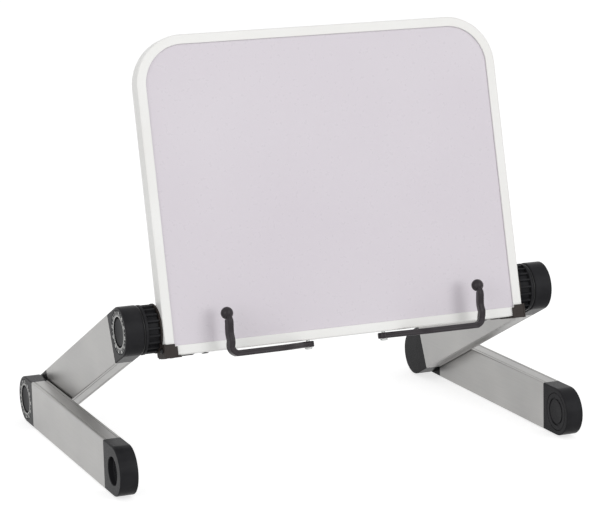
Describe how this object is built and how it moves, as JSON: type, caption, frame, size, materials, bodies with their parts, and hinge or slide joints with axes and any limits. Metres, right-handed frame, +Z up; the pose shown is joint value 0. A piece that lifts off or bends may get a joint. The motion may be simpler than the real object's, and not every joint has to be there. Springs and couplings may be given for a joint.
{
  "type": "book stand",
  "caption": "Book stand: a framed tilting board with rounded top corners and swinging page clips, carried by folding rectangular legs with push-button locking joints.",
  "frame": {"origin": "centre of the bounding box's bottom face, on the table, midway between the legs", "axes": "+X to the reader's right along the elbow and shoulder axes, +Y away from the reader, +Z up"},
  "size_m": [0.442, 0.3218, 0.385],
  "materials": {
    "white_frame": "white moulded plastic, satin",
    "lilac_panel": "pale lilac-grey sheet, satin",
    "back_cover": "fine grained moulded plastic",
    "anodised_tube": "natural satin anodised extrusion",
    "black_cap": "black moulded plastic, semi-gloss",
    "dial": "dark grey printed ring, matte",
    "button": "dark grey moulded plastic, satin",
    "lock_gear": "natural nylon",
    "zinc_steel": "bright zinc plated",
    "wear_washer": "black acetal",
    "bracket": "dark grey moulded plastic, satin",
    "black_screw": "black zinc plated steel",
    "page_clip": "dark grey moulded plastic, semi-gloss",
    "foot_rubber": "black rubber pad, matte"
  },
  "bodies": {
    "left_lower_arm": {"left_lower_tube": "anodised_tube", "left_lower_front_cap": "black_cap", "left_front_cap_disc": "black_cap", "left_lower_rear_cap": "black_cap", "left_elbow_dial": "dial", "left_rear_foot": "foot_rubber", "left_front_foot": "foot_rubber"},
    "left_elbow_push": {"left_elbow_button": "button"},
    "left_upper_arm": {"left_upper_tube": "anodised_tube", "left_upper_rear_cap": "black_cap", "left_upper_front_cap": "black_cap", "left_shoulder_dial": "dial", "left_elbow_gear": "lock_gear", "left_elbow_spring": "zinc_steel", "left_elbow_bolt": "zinc_steel", "left_elbow_washer": "wear_washer"},
    "left_shoulder_push": {"left_shoulder_button": "button"},
    "board": {"board_frame": "white_frame", "panel": "lilac_panel", "back_cover": "back_cover", "left_hub": "black_cap", "left_corner_bracket": "bracket", "left_bracket_screw": "black_screw", "left_side_screw": "black_screw", "left_frame_screw": "black_screw", "left_clip_screw": "zinc_steel", "left_shoulder_gear": "lock_gear", "left_shoulder_spring": "zinc_steel", "left_shoulder_bolt": "zinc_steel", "left_shoulder_washer": "wear_washer", "right_hub": "black_cap", "right_corner_bracket": "bracket", "right_bracket_screw": "black_screw", "right_side_screw": "black_screw", "right_frame_screw": "black_screw", "right_clip_screw": "zinc_steel", "right_shoulder_gear": "lock_gear", "right_shoulder_spring": "zinc_steel", "right_shoulder_bolt": "zinc_steel", "right_shoulder_washer": "wear_washer"},
    "left_clip": {"left_page_clip": "page_clip"},
    "right_clip": {"right_page_clip": "page_clip"},
    "right_upper_arm": {"right_upper_tube": "anodised_tube", "right_upper_rear_cap": "black_cap", "right_upper_front_cap": "black_cap", "right_shoulder_dial": "dial", "right_elbow_gear": "lock_gear", "right_elbow_spring": "zinc_steel", "right_elbow_bolt": "zinc_steel", "right_elbow_washer": "wear_washer"},
    "right_shoulder_push": {"right_shoulder_button": "button"},
    "right_lower_arm": {"right_lower_tube": "anodised_tube", "right_lower_front_cap": "black_cap", "right_front_cap_disc": "black_cap", "right_lower_rear_cap": "black_cap", "right_elbow_dial": "dial", "right_rear_foot": "foot_rubber", "right_front_foot": "foot_rubber"},
    "right_elbow_push": {"right_elbow_button": "button"}
  },
  "joints": [
    {"name": "left_elbow", "type": "hinge", "parent": "left_lower_arm", "child": "left_upper_arm", "pos_m": [-0.20375, 0.1388, 0.0235], "axis": [1, 0, 0], "range_deg": [-65.2, 24.8]},
    {"name": "left_shoulder", "type": "hinge", "parent": "left_upper_arm", "child": "board", "pos_m": [-0.18575, -0.10812, 0.13759], "axis": [-1, 0, 0], "range_deg": [-65, 101.5]},
    {"name": "right_shoulder", "type": "hinge", "parent": "board", "child": "right_upper_arm", "pos_m": [0.18575, -0.10812, 0.13759], "axis": [-1, 0, 0], "range_deg": [-101.5, 65]},
    {"name": "right_elbow", "type": "hinge", "parent": "right_upper_arm", "child": "right_lower_arm", "pos_m": [0.20375, 0.1388, 0.0235], "axis": [1, 0, 0], "range_deg": [-24.8, 65.2]},
    {"name": "left_clip_swing", "type": "hinge", "parent": "board", "child": "left_clip", "pos_m": [-0.0361, -0.12742, 0.11246], "axis": [0, 0.23, 0.9732], "range_deg": [-7.7, 70]},
    {"name": "right_clip_swing", "type": "hinge", "parent": "board", "child": "right_clip", "pos_m": [0.0361, -0.12742, 0.11246], "axis": [0, -0.23, -0.9732], "range_deg": [-7.7, 70]},
    {"name": "left_elbow_press", "type": "slide", "parent": "left_lower_arm", "child": "left_elbow_push", "axis": [1, 0, 0], "range_m": [0, 0.0025], "stiffness_N_per_m": 600, "springref_m": -0.003},
    {"name": "right_elbow_press", "type": "slide", "parent": "right_lower_arm", "child": "right_elbow_push", "axis": [-1, 0, 0], "range_m": [0, 0.0025], "stiffness_N_per_m": 600, "springref_m": -0.003},
    {"name": "left_shoulder_press", "type": "slide", "parent": "left_upper_arm", "child": "left_shoulder_push", "axis": [1, 0, 0], "range_m": [0, 0.0025], "stiffness_N_per_m": 600, "springref_m": -0.003},
    {"name": "right_shoulder_press", "type": "slide", "parent": "right_upper_arm", "child": "right_shoulder_push", "axis": [-1, 0, 0], "range_m": [0, 0.0025], "stiffness_N_per_m": 600, "springref_m": -0.003}
  ],
  "couplings": [
    {"joint": "right_elbow", "follows": "left_elbow", "ratio": -1},
    {"joint": "right_shoulder", "follows": "left_shoulder", "ratio": -1}
  ]
}
